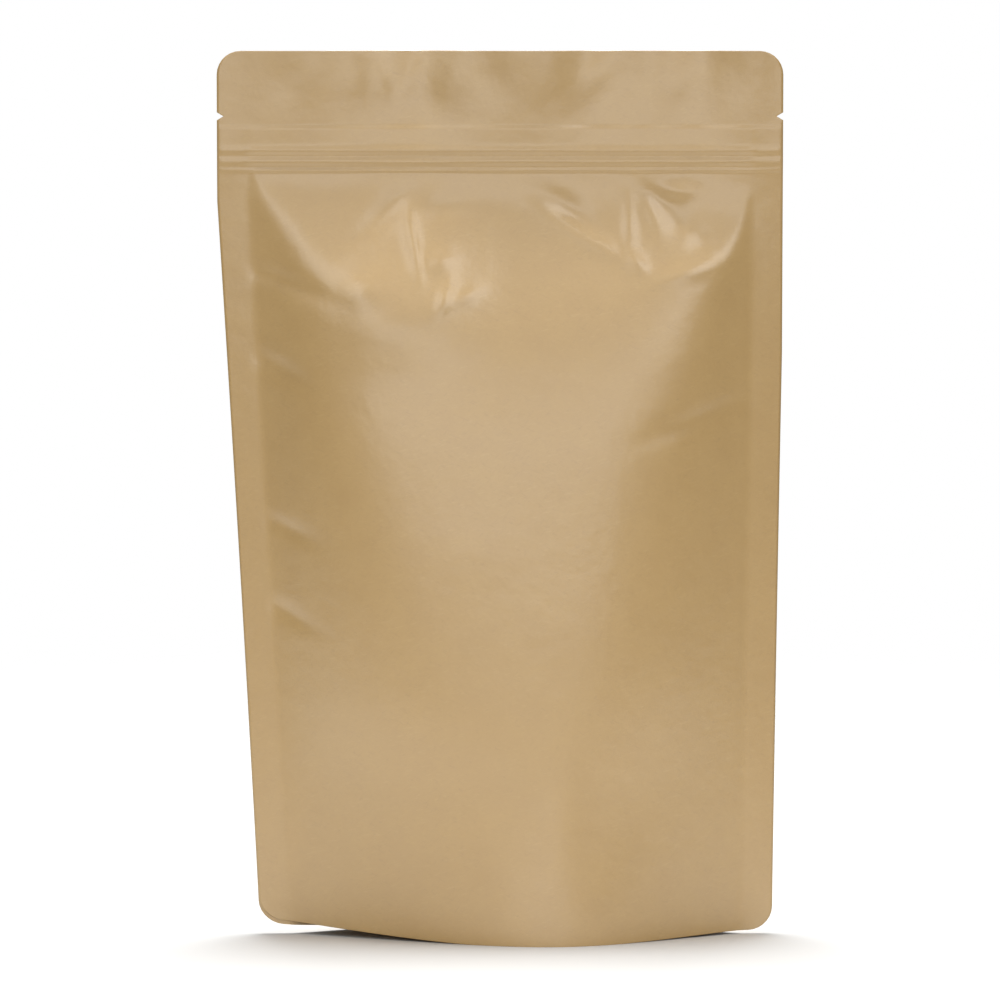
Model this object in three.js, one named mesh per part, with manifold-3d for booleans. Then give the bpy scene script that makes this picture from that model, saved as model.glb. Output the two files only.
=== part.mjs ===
// A kraft stand-up pouch, zip pressed shut and part filled, standing on its base gusset.
// Millimetres, +Z up, front panel towards -Y. The origin is the middle of the bounding box, on the table.
//
// Two flat panels are heat sealed to each other down both sides. A gusset is folded up between their
// bottom edges, so that the panels stand apart at the foot like a boat's hull and lie flat at the zip.
import * as THREE from "three";
import { mergeVertices } from "three/addons/utils/BufferGeometryUtils.js";
import Module from "manifold-3d";

const wasm = await Module();
wasm.setup();
const { clamp, lerp, smoothstep, degToRad } = THREE.MathUtils;

// ---- driving dimensions -------------------------------------------------------------------------
const WIDTH = 130; // flat panel, over both side seals
const HEIGHT = 204.4; // standing; the flat panel is about 210
const SIDE_SEAL = 6.5;
const CORNER_RADIUS = 5.5;
const SEAL_THICKNESS = 0.5;

const ZIP_FOOT = 177.4; // lower groove of the zip's track
const ZIP_TRACK = 2.5; // height of the raised track
const ZIP_TRACK_RELIEF = 0.7;
const ZIP_FLANGE_TOP = 187;
const ZIP_FLANGE_RELIEF = 0.25;
const SEAL_CRUSH = 2.5; // length over which a side seal crushes the zip flat
const NOTCH_HEIGHT = 189.4;
const NOTCH_DEPTH = 1.5;
const NOTCH_HALF_MOUTH = 0.9;

// The filled foot draws the two side seals together, the left one further.
const LEFT_DRAW = { amount: 9.2, from: 170 };
const RIGHT_DRAW = { amount: 1.9, from: 135 };
const DRAW_POWER = 1.1;

// A panel's crown is the depth of its middle, and its facets are the slopes that rise to it from the side
// seals. Each is a smooth curve through [height, value] points. A higher shoulder is a sharper one, and the
// skew tilts the crown's level lines up towards the left.
const FRONT = {
  crown: [
    [0, 40], [18, 29], [45, 22], [80, 19], [113, 16.2], [130, 13.6],
    [141, 11.2], [151, 7.8], [161, 3.6], [169, 0.9], [ZIP_FOOT, 0],
  ],
  leftFacet: [
    [0, 0.46], [34, 0.5], [58, 0.68], [100, 0.74], [125, 0.72], [148, 0.58], [160, 0.44], [ZIP_FOOT, 0.36],
  ],
  rightFacet: [
    [0, 0.64], [34, 0.62], [62, 0.69], [100, 0.7], [135, 0.72], [155, 0.67], [ZIP_FOOT, 0.6],
  ],
  shoulder: { left: 2.6, right: 3.1 },
  apexShift: 9,
  skew: 0.07,
  lift: { left: 3.6, right: 1 },
  flat: [-6, 26],
};
const BACK = {
  crown: [
    [0, 36], [20, 27], [50, 21], [90, 17.5], [120, 14],
    [140, 10], [155, 5.8], [168, 1.6], [ZIP_FOOT, 0],
  ],
  leftFacet: [[0, 0.5], [30, 0.52], [62, 0.6], [ZIP_FOOT, 0.5]],
  rightFacet: [[0, 0.52], [30, 0.54], [62, 0.62], [ZIP_FOOT, 0.5]],
  shoulder: { left: 3, right: 3 },
  apexShift: 0,
  skew: -0.03,
  lift: { left: 2.6, right: 2 },
  flat: [-14, 22],
};
const CROWN_FALL = 0.15; // share of its depth that the crown loses towards the seals
const SEAL_ROUNDING = 2.4; // how gently a facet starts at its seal
const APEX_SHIFT_TOP = 100;
const LIFT_POWER = 1.4;
const LIFT_TOP = 50;
const FIN_LEAN = { left: 0.2, right: 0.34 }; // the side seals' slope backwards, halfway up
const LEAN_START = 3; // how far inside a side seal its lean begins

const GUSSET_FOLD = 38; // height of the gusset's fold at the side seals
const FOLD_MIDDLE = 16; // and halfway across, where the filling presses it down
const SKIRT_MIDDLE = 4.5; // height of the seal between panel and gusset, halfway across
const LOBES_FLAT = [-6, 22]; // the two lobes of the gusset lie on the table between these
const LOBE_POWER = 1.5;
const FOLD_SHARE = 0.35; // share of the half depth that the fold takes
const SKIRT_SHARE = 0.25; // and that the rise to the skirt takes
const SKIRT_WALL = 0.5;
const BELOW_TABLE = -3;

// ---- outline of the pouch -----------------------------------------------------------------------
function drawIn(z, { amount, from }) {
  return amount * (1 - clamp(z / from, 0, 1) ** DRAW_POWER);
}
const leftEdge = (z) => -WIDTH / 2 + drawIn(z, LEFT_DRAW);
const rightEdge = (z) => WIDTH / 2 - drawIn(z, RIGHT_DRAW);
const leftBorder = (z) => leftEdge(z) + SIDE_SEAL;
const rightBorder = (z) => rightEdge(z) - SIDE_SEAL;

// How far the cut edge stands back from the straight side: the round corners and the tear notch.
function edgeInset(z) {
  const intoCorner = Math.max(CORNER_RADIUS - z, z - (HEIGHT - CORNER_RADIUS), 0);
  const corner = CORNER_RADIUS - Math.sqrt(Math.max(CORNER_RADIUS ** 2 - intoCorner ** 2, 0));
  const notch = NOTCH_DEPTH * Math.max(1 - Math.abs(z - NOTCH_HEIGHT) / NOTCH_HALF_MOUTH, 0);
  return corner + notch;
}

// ---- how far a panel stands out from the middle plane --------------------------------------------
// Cubic through [height, value] points, sloping at each as the chord between its neighbours does.
function curve(z, points) {
  const last = points.length - 1;
  const slopeAt = (i) => {
    const [before, after] = [points[Math.max(i - 1, 0)], points[Math.min(i + 1, last)]];
    return (after[1] - before[1]) / (after[0] - before[0]);
  };
  const above = points.findIndex(([height]) => height > z);
  const i = above < 0 ? last - 1 : Math.max(above - 1, 0);
  const [[from, low], [to, high]] = [points[i], points[i + 1]];
  const width = to - from;
  const t = clamp((z - from) / width, 0, 1);
  return (
    low * (1 + 2 * t) * (1 - t) ** 2 +
    slopeAt(i) * width * t * (1 - t) ** 2 +
    high * t ** 2 * (3 - 2 * t) +
    slopeAt(i + 1) * width * t ** 2 * (t - 1)
  );
}

const softLeast = (a, b, power) => (a ** -power + b ** -power) ** (-1 / power);

// The least of three forms, blended: a facet rising from each side seal, and a crown between them.
function bulge(x, z, panel) {
  const left = leftBorder(z);
  const right = rightBorder(z);
  if (x <= left || x >= right || z >= ZIP_FOOT) return 0;
  const middle = (left + right) / 2 + panel.apexShift * clamp(1 - z / APEX_SHIFT_TOP, 0, 1);
  const across = (x - middle) / ((right - left) / 2);
  const level = Math.min(z + panel.skew * x, ZIP_FOOT);
  const crown = curve(level, panel.crown) * Math.max(1 - CROWN_FALL * across ** 2, 0.3);
  const rise = (run) => Math.hypot(run, SEAL_ROUNDING) - SEAL_ROUNDING;
  const onLeft = softLeast(crown, curve(z, panel.leftFacet) * rise(x - left), panel.shoulder.left);
  return softLeast(onLeft, curve(z, panel.rightFacet) * rise(right - x), panel.shoulder.right);
}

// The side seals bend back, following the front panel's slope, most at half height.
function finLean(x, z) {
  const bend = (outside) => Math.hypot(Math.max(outside + LEAN_START, 0), 1) - 1;
  const bent = FIN_LEAN.left * bend(leftBorder(z) - x) + FIN_LEAN.right * bend(x - rightBorder(z));
  return bent * Math.sin(Math.PI * clamp(z / ZIP_FOOT, 0, 1)) ** 0.7;
}

// The zip's raised track and its flange, crushed flat where the side seals cross them.
function zipRelief(x, z) {
  const inside = Math.min(x - leftBorder(z), rightBorder(z) - x) / SEAL_CRUSH;
  const track = Math.sin(Math.PI * clamp((z - ZIP_FOOT) / ZIP_TRACK, 0, 1));
  const onFlange = z > ZIP_FOOT && z < ZIP_FLANGE_TOP ? 1 : 0;
  return (ZIP_TRACK_RELIEF * track + ZIP_FLANGE_RELIEF * onFlange) * smoothstep(inside, 0, 1);
}

// How far a place is outside the range that lies on the table: 0 within it, 1 at the pouch's side.
function offTable(x, [from, to]) {
  const left = clamp((from - x) / (from - leftEdge(0)), 0, 1);
  const right = clamp((x - to) / (rightEdge(0) - to), 0, 1);
  return { left, right };
}

// The foot's corners are off the table; the middle of each bottom edge lies flat on it.
function lift(x, z, panel) {
  const { left, right } = offTable(x, panel.flat);
  const raised = panel.lift.left * left ** LIFT_POWER + panel.lift.right * right ** LIFT_POWER;
  return raised * clamp(1 - z / LIFT_TOP, 0, 1) ** 2;
}

// ---- the closed pouch, with a plain foot ----------------------------------------------------------
function rowHeights() {
  const rows = new Set();
  const arcSteps = 4;
  for (let i = 0; i <= arcSteps; i++) {
    const fromEdge = CORNER_RADIUS * (1 - Math.cos(degToRad((90 * i) / arcSteps)));
    rows.add(fromEdge);
    rows.add(HEIGHT - fromEdge);
  }
  const bodyRows = 26;
  for (let i = 1; i < bodyRows; i++) rows.add(lerp(CORNER_RADIUS, ZIP_FOOT - 3, i / bodyRows));
  [-3, -1, 0].forEach((below) => rows.add(ZIP_FOOT + below));
  [0.25, 0.5, 0.75, 1].forEach((share) => rows.add(ZIP_FOOT + share * ZIP_TRACK));
  [-0.2, 0.2].forEach((step) => rows.add(ZIP_FLANGE_TOP + step));
  [-1, 0, 1].forEach((side) => rows.add(NOTCH_HEIGHT + side * NOTCH_HALF_MOUTH));
  return [...rows].sort((a, b) => a - b);
}

// The columns' places across a row: two in each side seal, and the rest closer together by the seals.
function columnsAt(z) {
  const sealShares = [0, 0.5];
  const between = 26;
  const columns = sealShares.map((s) => lerp(leftEdge(z) + edgeInset(z), leftBorder(z), s));
  for (let i = 0; i <= between; i++) {
    const even = i / between;
    const eased = 0.5 - 0.5 * Math.cos(Math.PI * even);
    columns.push(lerp(leftBorder(z), rightBorder(z), lerp(even, eased, 0.5)));
  }
  for (const s of sealShares.toReversed()) {
    columns.push(lerp(rightEdge(z) - edgeInset(z), rightBorder(z), s));
  }
  return columns;
}

function panelGrid(panel, side) {
  return rowHeights().map((z) =>
    columnsAt(z).map((x) => {
      const out = SEAL_THICKNESS / 2 + bulge(x, z, panel) + zipRelief(x, z);
      return new THREE.Vector3(x, side * out + finLean(x, z), z + lift(x, z, panel));
    }),
  );
}

function geometryFrom(points, faces) {
  const geometry = new THREE.BufferGeometry().setFromPoints(points);
  return geometry.setIndex(faces);
}

// Joins two grids of the same shape, face to face, into one closed shell.
function shellBetween(front, back) {
  const rows = front.length;
  const columns = front[0].length;
  const faces = [];
  const at = (grid, row, column) => (grid * rows + row) * columns + column;
  const quad = (a, b, c, d) => faces.push(a, b, c, a, c, d);
  for (let r = 0; r < rows - 1; r++) {
    for (let c = 0; c < columns - 1; c++) {
      quad(at(0, r, c), at(0, r, c + 1), at(0, r + 1, c + 1), at(0, r + 1, c));
      quad(at(1, r, c + 1), at(1, r, c), at(1, r + 1, c), at(1, r + 1, c + 1));
    }
    quad(at(1, r, 0), at(0, r, 0), at(0, r + 1, 0), at(1, r + 1, 0));
    const end = columns - 1;
    quad(at(0, r, end), at(1, r, end), at(1, r + 1, end), at(0, r + 1, end));
  }
  for (let c = 0; c < columns - 1; c++) {
    quad(at(1, 0, c), at(1, 0, c + 1), at(0, 0, c + 1), at(0, 0, c));
    const top = rows - 1;
    quad(at(0, top, c), at(0, top, c + 1), at(1, top, c + 1), at(1, top, c));
  }
  return geometryFrom([...front.flat(), ...back.flat()], faces);
}

// ---- the space under the gusset -------------------------------------------------------------------
// The seal between panel and gusset is a round bowl: high at the sides and low in the middle.
function skirtHeight(side) {
  return GUSSET_FOLD - (GUSSET_FOLD - SKIRT_MIDDLE) * Math.sqrt(1 - (1 - side) ** 2);
}

// Height of the gusset across the foot. out is 0 on the fold and 1 at a panel; side is 0 at a side seal
// and 1 halfway across. Two lobes hang down to the table, between the fold and the skirts.
function gussetHeight(x, side, out) {
  const fold = lerp(FOLD_MIDDLE, GUSSET_FOLD, (1 - side) ** 2);
  const skirt = skirtHeight(side);
  const { left, right } = offTable(x, LOBES_FLAT);
  const lobe = Math.min(fold, skirt) * (left + right) ** LOBE_POWER;
  const towardsFold = clamp(1 - out / FOLD_SHARE, 0, 1) ** 2;
  const towardsSkirt = clamp(1 - (1 - out) / SKIRT_SHARE, 0, 1) ** 2;
  return lobe + (fold - lobe) * towardsFold + (skirt - lobe) * towardsSkirt;
}

// Places from the front panel (-1) over the fold (0) to the back panel (1), closest by the panels.
const HALF_ACROSS = [0.1, 0.2, 0.35, 0.55, 0.75, 0.86, 0.93, 1];
const ACROSS_GUSSET = [...HALF_ACROSS.toReversed().map((out) => -out), 0, ...HALF_ACROSS];

// The block under the gusset, from below the table up to the film, inside the walls of the skirt.
function cavityGeometry() {
  const halfSpan = (rightBorder(0) - leftBorder(0)) / 2;
  const under = [];
  const over = [];
  for (const x of columnsAt(0)) {
    const inside = Math.min(x - leftBorder(0), rightBorder(0) - x);
    if (inside < SKIRT_WALL) continue;
    const side = inside / halfSpan;
    const across = (wallHeight, height) =>
      ACROSS_GUSSET.map((out) => {
        const wall = bulge(x, wallHeight, out < 0 ? FRONT : BACK) + SEAL_THICKNESS / 2 - SKIRT_WALL;
        return new THREE.Vector3(x, out * wall + finLean(x, wallHeight), height(Math.abs(out)));
      });
    under.push(across(0, () => BELOW_TABLE));
    over.push(across(skirtHeight(side), (out) => gussetHeight(x, side, out)));
  }
  return shellBetween(under, over);
}

// ---- cut the one from the other -------------------------------------------------------------------
function solidFrom(geometry) {
  const merged = mergeVertices(geometry);
  return new wasm.Manifold(
    new wasm.Mesh({
      numProp: 3,
      vertProperties: merged.attributes.position.array,
      triVerts: new Uint32Array(merged.index.array),
    }),
  );
}

function geometryOf(solid) {
  const { vertProperties, triVerts } = solid.getMesh();
  const geometry = new THREE.BufferGeometry();
  geometry.setAttribute("position", new THREE.BufferAttribute(new Float32Array(vertProperties), 3));
  geometry.setIndex(new THREE.BufferAttribute(new Uint32Array(triVerts), 1));
  geometry.computeVertexNormals();
  return geometry;
}

const filled = solidFrom(shellBetween(panelGrid(FRONT, -1), panelGrid(BACK, 1)));
const underGusset = solidFrom(cavityGeometry());
const pouchGeometry = geometryOf(filled.subtract(underGusset));
pouchGeometry.computeBoundingBox();

const kraft = new THREE.MeshStandardMaterial({ color: 0xbda27a, roughness: 0.55, metalness: 0 });
const pouch = new THREE.Mesh(pouchGeometry, kraft);
pouch.name = "pouch";
// The panels bulge by unlike depths, so the side seals' plane stands a little off the middle of the box.
pouch.position.y = -(pouchGeometry.boundingBox.min.y + pouchGeometry.boundingBox.max.y) / 2;

const group = new THREE.Group();
group.add(pouch);
export default group;
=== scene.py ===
"""A kraft stand-up pouch, zip pressed shut and part filled, standing on its base gusset.

Three sheets of kraft laminate make it: a front and a back panel, heat sealed to each other down
both sides, and a gusset folded up between their bottom edges. Shapes are in millimetres until a
mesh is made. The front panel faces -Y and z = 0 is the table.
"""
import math

import bpy
import numpy as np
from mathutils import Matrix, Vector


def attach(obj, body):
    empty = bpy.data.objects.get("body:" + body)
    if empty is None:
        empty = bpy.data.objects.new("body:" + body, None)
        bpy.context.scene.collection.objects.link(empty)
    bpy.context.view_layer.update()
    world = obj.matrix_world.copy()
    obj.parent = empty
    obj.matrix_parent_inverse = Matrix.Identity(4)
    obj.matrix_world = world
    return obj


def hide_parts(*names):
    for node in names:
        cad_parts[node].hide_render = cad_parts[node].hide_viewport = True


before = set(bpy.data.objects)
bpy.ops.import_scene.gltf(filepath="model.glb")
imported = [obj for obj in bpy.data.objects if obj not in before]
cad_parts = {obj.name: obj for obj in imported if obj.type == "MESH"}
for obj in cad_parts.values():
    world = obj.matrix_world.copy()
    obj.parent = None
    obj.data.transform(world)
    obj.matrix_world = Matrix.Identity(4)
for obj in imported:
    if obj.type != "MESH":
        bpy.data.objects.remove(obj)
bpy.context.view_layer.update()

MM = 0.001

# ---- the pouch's own sizes ------------------------------------------------------------------
WIDTH = 130.0
HEIGHT = 204.4
SIDE_SEAL = 6.5
CORNER_RADIUS = 5.5
LAMINATE = 0.16
HALF_GAP = 0.01  # between the two sheets where they are sealed
SEAL_PLANE = 0.46  # y of the side seals, behind the middle because the front bulges out the more

ZIP_TOP = HEIGHT - 17.2
ZIP_FOOT = HEIGHT - 27.0
# The zip pressed through the panels. The flange is raised between two distances below the top edge,
# and each line of the track has its distance below the top edge, half width and height.
FLANGE_SPAN = (16.9, 27.2)
FLANGE_HEIGHT = 0.3
TRACK_LINES = [
    (22.8, 0.8, 0.26),
    (24.1, 0.55, -0.16),
    (25.3, 0.7, 0.12),
    (26.7, 0.6, -0.2),
]
CRUSHED_ZIP = 0.45  # share of the zip's height left where the side seals crush it
EDGE_FADE = 0.9  # steps of the flange and of the zip's end at the cut edge
NOTCH_HEIGHT = HEIGHT - 15.0
NOTCH_DEPTH = 1.5
NOTCH_HALF_MOUTH = 0.9

# The filled foot draws the side seals together: how far, and from what height down.
LEFT_DRAW = (9.2, 170.0)
RIGHT_DRAW = (1.9, 135.0)
DRAW_POWER = 1.1

# Each panel has the side of the seals' plane it is on, and (height, value) points of smooth curves.
# The crown is the depth of its flat middle, and a facet is the slope that rises to it from a side
# seal. A shoulder is how crisp the corner between them is. The apex shift moves the crown's middle
# at the foot, the skew starts the crown lower to one side, the lifts raise the foot's two corners,
# and between the two flat places along x the foot's edge touches the table.
FRONT = dict(
    side=-1,
    crown=[
        (0, 40), (18, 29), (45, 22), (80, 19), (113, 16.2), (130, 13.6),
        (141, 11.2), (151, 7.8), (161, 3.6), (169, 0.9), (177.4, 0),
    ],
    left_facet=[
        (0, 0.46), (34, 0.53), (58, 0.76), (100, 0.9),
        (125, 0.88), (148, 0.68), (160, 0.5), (177.4, 0.38),
    ],
    right_facet=[
        (0, 0.64), (34, 0.63), (62, 0.73), (100, 0.75),
        (135, 0.74), (155, 0.67), (177.4, 0.6),
    ],
    left_shoulder=2.6,
    right_shoulder=3.4,
    apex_shift=9.0,
    skew=0.07,
    lift=(3.6, 1.0),
    flat=(-6.0, 26.0),
)
BACK = dict(
    side=1,
    crown=[
        (0, 36), (20, 27), (50, 21), (90, 17.5), (120, 14),
        (140, 10), (155, 5.8), (168, 1.6), (177.4, 0),
    ],
    left_facet=[(0, 0.5), (30, 0.52), (62, 0.6), (177.4, 0.5)],
    right_facet=[(0, 0.52), (30, 0.54), (62, 0.62), (177.4, 0.5)],
    left_shoulder=3.0,
    right_shoulder=3.0,
    apex_shift=0.0,
    skew=-0.03,
    lift=(2.6, 2.0),
    flat=(-14.0, 22.0),
)
CROWN_FALL = 0.15  # share of its depth that the crown loses towards each side
LEAST_CROWN = 0.3
SEAL_ROUNDING = 2.4  # radius of the bend from a seal into its facet
APEX_SHIFT_TOP = 100.0
LIFT_POWER = 1.4
LIFT_TOP = 50.0
FIN_LEAN = (0.2, 0.34)  # slope of the left and the right side seal
LEAN_START = 3.0  # how far inside a seal its lean begins
LEAN_POWER = 0.7

# Creases and pillows of the front panel: x, z, direction in degrees, half length, half width,
# height, and the crest's sharpness, where 2 is round and 1 is a ridge.
BODY_CREASES = [
    (-25.0, 145.0, 0, 15.0, 12.0, 2.2, 2),
    (3.0, 154.0, 90, 14.0, 9.0, -0.5, 2),
    (41.0, 152.0, 12, 14.0, 8.0, 0.7, 2),
    (-27.0, 166.8, 43, 8.5, 3.0, -0.9, 2),
    (-12.5, 168.0, 8, 6.0, 3.0, -0.6, 2),
    (-32.0, 150.2, 10, 4.6, 3.7, 0.8, 2),
    (-19.9, 160.3, 100, 6.9, 1.4, 0.96, 1.3),
    (-13.4, 156.6, 0, 3.2, 2.8, 0.8, 1.6),
    (-12.7, 147.9, 70, 4.1, 1.8, 0.96, 1.4),
    (-7.7, 148.4, 25, 4.1, 1.6, 0.72, 1.4),
    (-44.5, 159.0, -52, 13.0, 5.5, 0.75, 2),
    (35.7, 171.0, -35, 7.0, 2.4, -0.85, 1.8),
    (16.9, 167.2, -37, 7.5, 2.8, -0.85, 2),
    (41.5, 172.9, 0, 3.9, 2.3, 0.8, 1.6),
    (20.1, 161.7, -31, 12.6, 2.1, 0.96, 1.4),
    (29.7, 165.1, 92, 6.9, 1.5, 0.6, 1.5),
    (31.6, 156.4, -55, 2.8, 1.4, 0.64, 1.4),
    (35.0, 167.4, -70, 5.1, 1.5, 0.5, 1.5),
    (43.8, 154.1, 17, 7.3, 2.1, 0.96, 1.4),
    (46.7, 161.0, 0, 3.2, 2.8, -0.64, 2),
    (41.0, 164.7, 0, 2.5, 2.3, -0.48, 2),
    (-48.1, 151.1, -20, 9.6, 2.5, -0.8, 1.8),
    (-49.5, 131.1, -30, 6.9, 2.3, -0.8, 1.8),
    (-48.1, 94.4, -25, 5.7, 1.8, -0.64, 1.6),
    (-48.6, 74.9, -30, 5.7, 1.8, -0.64, 1.6),
    (44.9, 120.1, 20, 11.5, 2.6, -0.6, 1.8),
    (27.0, 27.0, 66, 15.0, 8.0, -0.4, 2),
    (12.3, 25.5, 90, 17.2, 6.5, 0.5, 2),
    (-7.0, 90.0, 0, 13.0, 9.0, 0.25, 2),
]
# The flat top is two loose sheets that wave together, in rows of the same seven numbers.
TOP_WAVES = [
    (-50.0, 198.0, 86, 11.0, 4.4, -0.3, 2),
    (-43.0, 198.0, 100, 10.0, 4.0, 0.2, 2),
    (-33.0, 198.0, 90, 10.0, 3.6, 0.35, 2),
    (-27.0, 197.0, 97, 9.0, 2.4, 0.5, 1.8),
    (-20.8, 197.5, 70, 6.0, 1.8, 0.45, 1.7),
    (-11.5, 197.0, 86, 11.0, 4.6, 0.5, 2),
    (-2.0, 198.0, 96, 11.0, 4.2, -0.4, 2),
    (12.0, 199.0, 82, 10.0, 5.5, 0.3, 2),
    (22.5, 199.5, 62, 8.0, 3.2, 0.5, 2),
    (30.5, 199.0, 86, 10.0, 3.4, -0.6, 2),
    (42.0, 198.0, 74, 9.0, 3.6, 0.5, 2),
    (54.5, 198.5, 88, 10.0, 3.4, -0.35, 2),
]

# The back panel's own creases, seen from the front as the rest is.
BACK_CREASES = [
    (-38.0, 170.5, 38, 8.0, 2.0, -0.84, 1.4),
    (-21.0, 163.0, 118, 7.5, 1.6, 0.77, 1.3),
    (-8.0, 169.0, 12, 5.0, 2.2, -0.7, 1.8),
    (6.0, 158.5, 64, 6.0, 1.6, 0.7, 1.4),
    (21.0, 167.0, -42, 8.5, 1.9, -0.84, 1.4),
    (29.5, 157.0, -28, 9.5, 2.0, 0.77, 1.4),
    (40.5, 169.5, -55, 5.0, 1.6, 0.63, 1.4),
    (47.0, 148.0, 24, 8.5, 2.0, -0.98, 1.4),
    (45.0, 112.0, 28, 7.0, 1.9, -0.7, 1.5),
    (-49.0, 139.0, -26, 8.5, 2.0, -0.98, 1.4),
    (-46.5, 104.0, -22, 6.5, 1.8, -0.63, 1.5),
    (-12.0, 96.0, 80, 15.0, 7.0, 0.7, 2),
    (20.0, 62.0, 70, 14.0, 5.0, -0.56, 1.8),
    (-22.0, 27.0, 118, 12.0, 3.4, -0.63, 1.8),
]
# Places along the top edge that lean back (+) or forward: x, half width, how far at the edge.
TOP_SWAY = [
    (-21, 12, 3.6),
    (23, 8, 2.4),
    (43, 8, 2.4),
    (5, 10, -1.2),
    (-48, 12, -1.2),
    (57, 6, -1.2),
]
SWAY_FOOT = 166.0
SWAY_POWER = 1.4
MOUTH = 0.7  # how far apart the two sheets are at the open top edge
MOUTH_WAVES = 2.6  # number of waves of the mouth across the pouch, and where the first begins
MOUTH_START = 0.15

GUSSET_FOLD = 38.0  # height of the gusset's fold at the side seals
FOLD_MIDDLE = 16.0  # the same in the pouch's middle, where the fold opens
SKIRT_MIDDLE = 4.5  # height of the seal between panel and gusset in the middle
LOBES_FLAT = (-12.0, 28.0)  # between these places along x the two lobes lie on the table
LOBE_POWER = 2.0
FOLD_SHARE = 0.35  # shares of the way from fold to panel that the two slopes take up
SKIRT_SHARE = 0.25
GUSSET_GAP = 0.3  # from the gusset to the panels, so that the film stays inside them
GUSSET_FOOT = 0.05  # lowest point of the film, just off the table


def blend(low, high, share):
    """Straight-line mix of low and high."""
    return low + (high - low) * share


def ease(share):
    """Smooth step: 0 up to 0, 1 from 1, and 3s^2 - 2s^3 between."""
    s = np.clip(share, 0, 1)
    return s * s * (3 - 2 * s)


def curve(z, points):
    """Cubic through (height, value) points; at each it slopes as its two neighbours' chord does."""
    at, value = np.array(points, dtype=float).T
    before = np.maximum(np.arange(len(at)) - 1, 0)
    after = np.minimum(np.arange(len(at)) + 1, len(at) - 1)
    slope = (value[after] - value[before]) / (at[after] - at[before])
    span = np.clip(np.searchsorted(at, z, side="right") - 1, 0, len(at) - 2)
    width = at[span + 1] - at[span]
    t = np.clip((z - at[span]) / width, 0, 1)
    return (
        value[span] * (1 + 2 * t) * (1 - t) ** 2
        + slope[span] * width * t * (1 - t) ** 2
        + value[span + 1] * t**2 * (3 - 2 * t)
        + slope[span + 1] * width * t**2 * (t - 1)
    )


# ---- outline --------------------------------------------------------------------------------
def draw_in(z, draw):
    """How far the filled foot draws a side in: amount * (1 - (z / from)^power), 0 above from."""
    amount, start = draw
    return amount * (1 - np.clip(z / start, 0, 1) ** DRAW_POWER)


def left_edge(z):
    """x of the left cut edge."""
    return -WIDTH / 2 + draw_in(z, LEFT_DRAW)


def right_edge(z):
    """x of the right cut edge."""
    return WIDTH / 2 - draw_in(z, RIGHT_DRAW)


def edge_inset(z):
    """How far the cut edge is set in: a quarter circle at each corner, a V at the tear notch."""
    into = np.maximum(np.maximum(CORNER_RADIUS - z, z - (HEIGHT - CORNER_RADIUS)), 0)
    corner = CORNER_RADIUS - np.sqrt(np.maximum(CORNER_RADIUS**2 - into**2, 0))
    notch = NOTCH_DEPTH * np.maximum(1 - np.abs(z - NOTCH_HEIGHT) / NOTCH_HALF_MOUTH, 0)
    return corner + notch


# ---- relief of a panel ----------------------------------------------------------------------
def soft_least(a, b, power):
    """The lesser of two heights with a round corner: (a^-power + b^-power)^(-1 / power)."""
    a, b = np.maximum(a, 1e-9), np.maximum(b, 1e-9)
    return (a**-power + b**-power) ** (-1 / power)


def bulge(x, z, panel):
    """How far a panel stands out: the soft least of its crown and its two facets."""
    left = left_edge(z) + SIDE_SEAL
    right = right_edge(z) - SIDE_SEAL
    middle = (left + right) / 2 + panel["apex_shift"] * np.clip(1 - z / APEX_SHIFT_TOP, 0, 1)
    across = (x - middle) / ((right - left) / 2)
    start = np.minimum(z + panel["skew"] * x, ZIP_FOOT)
    form = curve(start, panel["crown"]) * np.maximum(1 - CROWN_FALL * across**2, LEAST_CROWN)
    for run, facet, shoulder in (
        (x - left, panel["left_facet"], panel["left_shoulder"]),
        (right - x, panel["right_facet"], panel["right_shoulder"]),
    ):
        rise = np.sqrt(np.maximum(run, 0) ** 2 + SEAL_ROUNDING**2) - SEAL_ROUNDING
        form = soft_least(form, curve(z, facet) * rise, shoulder)
    return np.where((x > left) & (x < right) & (z < ZIP_FOOT), form, 0)


def creases(x, z, rows):
    """Sum of ridges: height * exp(-(along / half length)^2 - |across / half width|^sharpness)."""
    total = np.zeros(np.broadcast(x, z).shape)
    for at_x, at_z, degrees, half_length, half_width, height, sharpness in rows:
        turn = math.radians(degrees)
        along = ((x - at_x) * math.cos(turn) + (z - at_z) * math.sin(turn)) / half_length
        across = ((z - at_z) * math.cos(turn) - (x - at_x) * math.sin(turn)) / half_width
        total += height * np.exp(-(along**2) - (across**2 + 0.01) ** (sharpness / 2))
    return total


def zip_relief(x, z):
    """The zip seen through the panel, slighter in the seals and gone at the cut edges.

    The flange is a step up and a step down, and the track's lines are bells over z,
    height * exp(-(off / half width)^2).
    """
    below = HEIGHT - z
    start, stop = FLANGE_SPAN
    raised = ease((below - start) / EDGE_FADE) - ease((below - stop) / EDGE_FADE)
    track = sum(
        height * np.exp(-(((below - at) / half_width) ** 2))
        for at, half_width, height in TRACK_LINES
    )
    from_edge = np.minimum(x - left_edge(z), right_edge(z) - x)
    pressed = blend(CRUSHED_ZIP, 1.0, ease((from_edge - SIDE_SEAL + 1.0) / 2.5))
    return (FLANGE_HEIGHT * raised + track) * pressed * ease(from_edge / EDGE_FADE)


def top_sway(x, z):
    """Both sheets lean back or forward above the body: bells along x that grow towards the edge."""
    bells = sum(amount * np.exp(-(((x - at) / width) ** 2)) for at, width, amount in TOP_SWAY)
    return bells * np.clip((z - SWAY_FOOT) / (HEIGHT - SWAY_FOOT), 0, 1) ** SWAY_POWER


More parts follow.
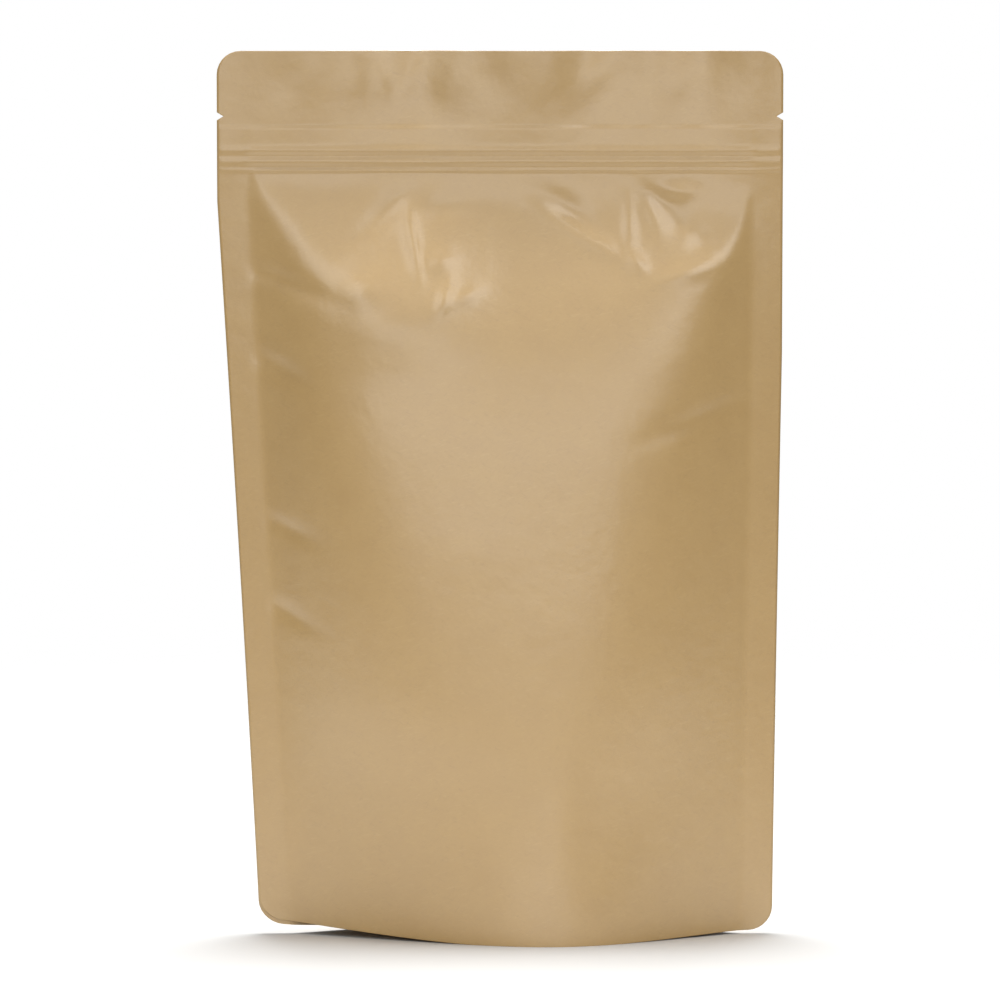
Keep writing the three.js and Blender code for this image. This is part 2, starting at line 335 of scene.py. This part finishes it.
def mouth(x, z):
    """The two sheets part above the zip: eased up to the edge, sin(pi * s)^0.6 across, waved."""
    share = np.clip((x - left_edge(z) - SIDE_SEAL) / (WIDTH - 2 * SIDE_SEAL), 0, 1)
    waves = 0.65 + 0.35 * np.cos(2 * np.pi * (MOUTH_WAVES * share + MOUTH_START))
    return MOUTH * ease((z - ZIP_TOP - 2) / 15) * np.sin(np.pi * share) ** 0.6 * waves / 2


def fin_lean(x, z):
    """The side seals bend back as the front panel's slope does, most at half height.

    From LEAN_START inside the seal on, lean * (sqrt(way out^2 + 1) - 1), times sin(pi * z)^power.
    """
    bent = 0
    left_out = left_edge(z) + SIDE_SEAL - x
    right_out = x - right_edge(z) + SIDE_SEAL
    for outside, lean in zip((left_out, right_out), FIN_LEAN):
        bent = bent + lean * (np.sqrt(np.maximum(outside + LEAN_START, 0) ** 2 + 1) - 1)
    return bent * np.sin(np.pi * np.clip(z / ZIP_FOOT, 0, 1)) ** LEAN_POWER


def lift(x, z, panel):
    """The foot's corners are off the table, by a power of the way out from the flat places."""
    start, stop = panel["flat"]
    left = np.clip((start - x) / (start - left_edge(0)), 0, 1)
    right = np.clip((x - stop) / (right_edge(0) - stop), 0, 1)
    raised = panel["lift"][0] * left**LIFT_POWER + panel["lift"][1] * right**LIFT_POWER
    return raised * np.clip(1 - z / LIFT_TOP, 0, 1) ** 2


def row_heights():
    """Heights of the grid's rows: even, and finer in the corners, the zip and the notch."""
    arc = CORNER_RADIUS * (1 - np.cos(np.linspace(0, np.pi / 2, 8)))
    body = np.arange(CORNER_RADIUS + 1.0, ZIP_FOOT - 2.0, 0.95)
    zip_rows = np.arange(ZIP_FOOT - 2.0, NOTCH_HEIGHT - 1.2, 0.3)
    notch = NOTCH_HEIGHT + NOTCH_HALF_MOUTH * np.linspace(-1, 1, 7)
    top = np.arange(NOTCH_HEIGHT + 1.4, HEIGHT - CORNER_RADIUS - 0.5, 0.8)
    rows = np.concatenate([arc, body, zip_rows, notch, top, HEIGHT - arc])
    return np.unique(np.round(rows, 4))


def panel_grid(panel, body_creases, columns=155):
    """Rows go up, columns go across from the left cut edge to the right one, closer by the seals.

    A point is at y = plane + side * (sheet + bulge + zip + creases + mouth) + lean + sway - waves.
    """
    z = row_heights()[:, None]
    even = np.linspace(0, 1, columns)[None, :]
    share = blend(even, 0.5 - 0.5 * np.cos(np.pi * even), 0.25)
    inset = edge_inset(z)
    x = blend(left_edge(z) + inset, right_edge(z) - inset, share)
    inside = np.minimum(x - left_edge(z), right_edge(z) - x) - SIDE_SEAL
    on_body = ease((ZIP_FOOT - 0.5 - z) / 6) * ease((inside + 2.0) / 4) * ease((z - 1.0) / 12)
    out = HALF_GAP + LAMINATE + bulge(x, z, panel) + zip_relief(x, z)
    out = out + on_body * creases(x, z, body_creases) + mouth(x, z)
    on_top = ease((z - ZIP_TOP) / 12) * ease((inside + 4.0) / 5)
    back = fin_lean(x, z) + top_sway(x, z) - on_top * creases(x, z, TOP_WAVES)
    y = SEAL_PLANE + panel["side"] * out + back
    return np.stack([x, y, z + lift(x, z, panel)], axis=-1)


# ---- gusset ---------------------------------------------------------------------------------
def skirt_height(side):
    """Top of the panel's seal to the gusset: fold - (fold - middle) * sqrt(1 - (1 - side)^2)."""
    return GUSSET_FOLD - (GUSSET_FOLD - SKIRT_MIDDLE) * np.sqrt(1 - (1 - side) ** 2)


def gusset_height(x, side, out):
    """The lobes' height, plus squares of what is left of the slopes by the fold and the panels."""
    fold = blend(FOLD_MIDDLE, GUSSET_FOLD, (1 - side) ** 2)
    skirt = skirt_height(side)
    start, stop = LOBES_FLAT
    off_left = np.clip((start - x) / (start - left_edge(0)), 0, 1)
    off_right = np.clip((x - stop) / (right_edge(0) - stop), 0, 1)
    lobe = np.minimum(fold, skirt) * (off_left + off_right) ** LOBE_POWER
    towards_fold = np.clip(1 - out / FOLD_SHARE, 0, 1) ** 2
    towards_skirt = np.clip(1 - (1 - out) / SKIRT_SHARE, 0, 1) ** 2
    return lobe + (fold - lobe) * towards_fold + (skirt - lobe) * towards_skirt


def gusset_grid(columns=121, half_across=25):
    """Rows go across the foot, front panel to fold to back panel, and columns go along the fold.

    A point is at y = plane + across * bulge of the panel it faces there + lean.
    """
    left, right = left_edge(0) + SIDE_SEAL + 0.3, right_edge(0) - SIDE_SEAL - 0.3
    x = blend(left, right, 0.5 - 0.5 * np.cos(np.pi * np.linspace(0, 1, columns)))[None, :]
    side = np.clip(np.minimum(x - left, right - x) / ((right - left) / 2), 0, 1)
    half = 1 - (1 - np.linspace(0, 1, half_across)) ** 1.4
    across = np.concatenate([-half[:0:-1], half])[:, None]
    height = gusset_height(x, side, np.abs(across))
    seal = skirt_height(side)
    walls = []
    for panel in (FRONT, BACK):
        unlifted = seal - lift(x, seal, panel)
        walls.append(np.maximum(bulge(x, unlifted, panel) - GUSSET_GAP, 0))
    y = SEAL_PLANE + across * np.where(across < 0, walls[0], walls[1]) + fin_lean(x, height)
    return np.stack([x + 0 * across, y, np.maximum(height, GUSSET_FOOT)], axis=-1)


# ---- meshes ---------------------------------------------------------------------------------
def grid_piece(name, grid, flipped=False):
    """A sheet: one quad between each four neighbours of the grid, facing out of the pouch."""
    rows, columns = grid.shape[:2]
    index = np.arange(rows * columns).reshape(rows, columns)
    corners = [index[:-1, :-1], index[:-1, 1:], index[1:, 1:], index[1:, :-1]]
    if flipped:
        corners.reverse()
    quads = np.stack(corners, axis=-1).reshape(-1, 4)
    mesh = bpy.data.meshes.new(name)
    mesh.from_pydata((grid.reshape(-1, 3) * MM).tolist(), [], quads.tolist())
    mesh.polygons.foreach_set("use_smooth", np.ones(len(quads), dtype=bool))
    mesh.update()
    piece = bpy.data.objects.new(name, mesh)
    bpy.context.scene.collection.objects.link(piece)
    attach(piece, "root")
    return piece


def give_thickness(piece, thickness):
    """The sheet's wall grows inwards from its outer face."""
    wall = piece.modifiers.new("sheet", "SOLIDIFY")
    wall.thickness = thickness * MM
    wall.offset = -1
    wall.use_even_offset = False


# ---- materials ------------------------------------------------------------------------------
# Sizes of the paper's patterns in mm.
CLOUD = 7.0
COCKLE = 4.0
COCKLE_DEPTH = 0.1
PULP = 0.9
TOOTH_DEPTH = 0.04
FIBRE_DEPTH = 6.0  # the streaks' length along y, through the sheet
FIBRE_EDGE = 0.16  # noise values over which a fibre fades in


def linear(hex_code):
    """sRGB hex to linear: c / 12.92 below 0.04045, else ((c + 0.055) / 1.055)^2.4."""
    channels = [int(hex_code[i : i + 2], 16) / 255 for i in (0, 2, 4)]
    return [c / 12.92 if c <= 0.04045 else ((c + 0.055) / 1.055) ** 2.4 for c in channels] + [1.0]


def add(tree, kind, settings=None, links=None):
    """Adds a node. A key is a socket's name or number, or in settings a property's name."""
    node = tree.nodes.new(kind)
    for key, value in (settings or {}).items():
        if isinstance(key, int) or key in node.inputs:
            node.inputs[key].default_value = value
        else:
            setattr(node, key, value)
    for key, source in (links or {}).items():
        tree.links.new(source, node.inputs[key])
    return node


def noise_layer(tree, place, scale, detail):
    """Cloudy noise from 0 to 1."""
    settings = {"Scale": scale, "Detail": detail}
    return add(tree, "ShaderNodeTexNoise", settings, {"Vector": place}).outputs["Fac"]


def bump_layer(tree, height, strength, depth, over=None):
    """Relief of depth mm from a 0 to 1 height, over another relief if one is given."""
    links = {"Height": height} | ({"Normal": over} if over else {})
    settings = {"Strength": strength, "Distance": depth * MM}
    return add(tree, "ShaderNodeBump", settings, links).outputs["Normal"]


def fibre_layer(tree, place, degrees, length, width, threshold):
    """Streaks at an angle: noise stretched to length by width in mm, cut off below a threshold."""
    turned = add(
        tree,
        "ShaderNodeMapping",
        {
            "vector_type": "TEXTURE",
            "Rotation": (0, math.radians(degrees), 0),
            "Scale": (length * MM, FIBRE_DEPTH * MM, width * MM),
        },
        {"Vector": place},
    )
    streaks = noise_layer(tree, turned.outputs["Vector"], 1.0, 1.0)
    limits = {"From Min": threshold, "From Max": threshold + FIBRE_EDGE}
    return add(tree, "ShaderNodeMapRange", limits, {"Value": streaks}).outputs["Result"]


def kraft_laminate():
    """Unbleached kraft paper under clear matt film: brown fibres, seen through a satin coat.

    The paper gives cloudy brown with long fibres, and the film a white haze towards a light. A
    kraft fibre is 0.03 mm wide, too fine to show, so fibres are drawn 0.3 mm wide.
    """
    material = bpy.data.materials.new("kraft paper laminate")
    material.use_nodes = True
    tree = material.node_tree
    shader = tree.nodes["Principled BSDF"]
    place = add(tree, "ShaderNodeTexCoord").outputs["Object"]
    cloud = noise_layer(tree, place, 1 / (CLOUD * MM), 3.0)
    pulp = noise_layer(tree, place, 1 / (PULP * MM), 2.0)
    dark_fibres = fibre_layer(tree, place, 24, 2.0, 0.28, 0.6)
    cross_fibres = fibre_layer(tree, place, -47, 1.6, 0.28, 0.6)
    pale_fibres = fibre_layer(tree, place, -14, 2.2, 0.3, 0.6)

    paper = add(
        tree,
        "ShaderNodeMix",
        {"data_type": "RGBA", 6: linear("B08A45"), 7: linear("B9944F")},
        {0: cloud},
    )
    colour = paper.outputs[2]
    for fibres, tone, share in (
        (pulp, "A6803F", 0.22),
        (dark_fibres, "8E6A30", 0.16),
        (cross_fibres, "8E6A30", 0.14),
        (pale_fibres, "CBAC70", 0.16),
    ):
        weight = add(tree, "ShaderNodeMath", {"operation": "MULTIPLY", 1: share}, {0: fibres})
        layer = add(
            tree,
            "ShaderNodeMix",
            {"data_type": "RGBA", 7: linear(tone)},
            {0: weight.outputs["Value"], 6: colour},
        )
        colour = layer.outputs[2]
    tree.links.new(colour, shader.inputs["Base Color"])

    rough = add(tree, "ShaderNodeMapRange", {"To Min": 0.42, "To Max": 0.56}, {"Value": cloud})
    tree.links.new(rough.outputs["Result"], shader.inputs["Roughness"])
    shader.inputs["IOR"].default_value = 1.5
    shader.inputs["Specular IOR Level"].default_value = 1.0
    shader.inputs["Coat Weight"].default_value = 1.0
    shader.inputs["Coat Roughness"].default_value = 0.28
    shader.inputs["Coat IOR"].default_value = 1.8

    # The paper's tooth shows under the film; the film itself only follows the cockle.
    tooth = bump_layer(tree, pulp, 0.5, TOOTH_DEPTH)
    cockle = noise_layer(tree, place, 1 / (COCKLE * MM), 2.0)
    paper_relief = bump_layer(tree, cockle, 1.0, COCKLE_DEPTH, tooth)
    tree.links.new(paper_relief, shader.inputs["Normal"])
    film_relief = bump_layer(tree, cockle, 1.0, COCKLE_DEPTH)
    tree.links.new(film_relief, shader.inputs["Coat Normal"])
    return material


KRAFT = kraft_laminate()

front = grid_piece("front_panel", panel_grid(FRONT, BODY_CREASES))
back = grid_piece("back_panel", panel_grid(BACK, BACK_CREASES), flipped=True)
gusset = grid_piece("gusset", gusset_grid(), flipped=True)
for sheet in (front, back, gusset):
    sheet.data.materials.append(KRAFT)
    give_thickness(sheet, LAMINATE)
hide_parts("pouch")


# ---- floor, light and camera ----------------------------------------------------------------
SWEEP_FADE, SWEEP_END = 0.2, 0.6


def studio_floor():
    """A round white sweep, a fan of rings about the vertical axis, that fades into the backdrop."""
    turn = np.linspace(0, 2 * np.pi, 97)[:-1]
    radius = np.array([0.1, 0.3, 0.5, SWEEP_END])[:, None]
    ring = np.stack([radius * np.cos(turn), radius * np.sin(turn), 0 * radius * turn], axis=-1)
    rows, columns = ring.shape[:2]
    index = np.arange(rows * columns).reshape(rows, columns)
    after = np.roll(index, -1, axis=1)
    quads = np.stack([index[:-1], index[1:], after[1:], after[:-1]], axis=-1).reshape(-1, 4)
    mesh = bpy.data.meshes.new("floor")
    mesh.from_pydata(ring.reshape(-1, 3).tolist(), [], quads.tolist() + [index[0].tolist()])
    mesh.update()
    floor = bpy.data.objects.new("floor", mesh)
    bpy.context.scene.collection.objects.link(floor)
    paint = bpy.data.materials.new("white card")
    paint.use_nodes = True
    tree = paint.node_tree
    card = tree.nodes["Principled BSDF"]
    card.inputs["Base Color"].default_value = linear("F8F8F7")
    card.inputs["Roughness"].default_value = 0.9
    card.inputs["Specular IOR Level"].default_value = 0.2
    place = add(tree, "ShaderNodeTexCoord").outputs["Object"]
    reach = add(tree, "ShaderNodeVectorMath", {"operation": "LENGTH"}, {0: place}).outputs["Value"]
    fade = {"interpolation_type": "SMOOTHSTEP", "From Min": SWEEP_FADE, "From Max": SWEEP_END}
    shown = add(tree, "ShaderNodeMapRange", fade | {"To Min": 1.0, "To Max": 0.0}, {"Value": reach})
    tree.links.new(shown.outputs["Result"], card.inputs["Alpha"])
    mesh.materials.append(paint)


def soft_light(name, place, aim, width, height, watts, lit=()):
    """A softbox. Flags keep its light off all but the lit pieces, where any are named."""
    lamp = bpy.data.lights.new(name, "AREA")
    lamp.shape = "RECTANGLE"
    lamp.size, lamp.size_y = width, height
    lamp.energy = watts
    holder = bpy.data.objects.new(name, lamp)
    holder.location = place
    holder.rotation_euler = (Vector(aim) - Vector(place)).to_track_quat("-Z", "Y").to_euler()
    holder.visible_camera = False
    if lit:
        reach = bpy.data.collections.new(name)
        for piece in lit:
            reach.objects.link(piece)
        holder.light_linking.receiver_collection = reach
    bpy.context.scene.collection.objects.link(holder)


def pale_world(seen, light):
    """The camera sees a pale backdrop; the pouch is lit by a dimmer even light from all round."""
    world = bpy.data.worlds.new("studio")
    world.use_nodes = True
    tree = world.node_tree
    tree.nodes["Background"].inputs["Color"].default_value = linear("FFFFFF")
    ray = add(tree, "ShaderNodeLightPath").outputs["Is Camera Ray"]
    strength = add(tree, "ShaderNodeMapRange", {"To Min": light, "To Max": seen}, {"Value": ray})
    tree.links.new(strength.outputs["Result"], tree.nodes["Background"].inputs["Strength"])
    return world


studio_floor()
soft_light("overhead box", (0.0, 0.2, 1.7), (0, 0, 0), 0.6, 0.6, 29)
soft_light("left box", (-0.62, -1.08, 0.94), (0, 0, 0.1), 0.75, 1.2, 4.1, (front, back))
soft_light("right box", (0.68, -1.04, 0.94), (0, 0, 0.1), 0.6, 1.2, 4.7, (front, back))
soft_light("front box", (0.0, -1.24, 0.94), (0, 0, 0.1), 1.15, 1.2, 1.5, (front, back))
soft_light("low box", (0.0, -1.49, 0.27), (0, 0, 0.1), 1.15, 0.44, 2.4, (front, back))

scene = bpy.context.scene
scene.world = pale_world(1.0, 0.32)
scene.view_settings.view_transform = "Standard"

lens = bpy.data.cameras.new("camera")
lens.lens = 235
lens.sensor_width = 36
eye = bpy.data.objects.new("camera", lens)
eye.location = (0.0, -1.5, 0.235)
aim = Vector((0.0, 0.0, 0.1010))
eye.rotation_euler = (aim - eye.location).to_track_quat("-Z", "Y").to_euler()
scene.collection.objects.link(eye)
scene.camera = eye
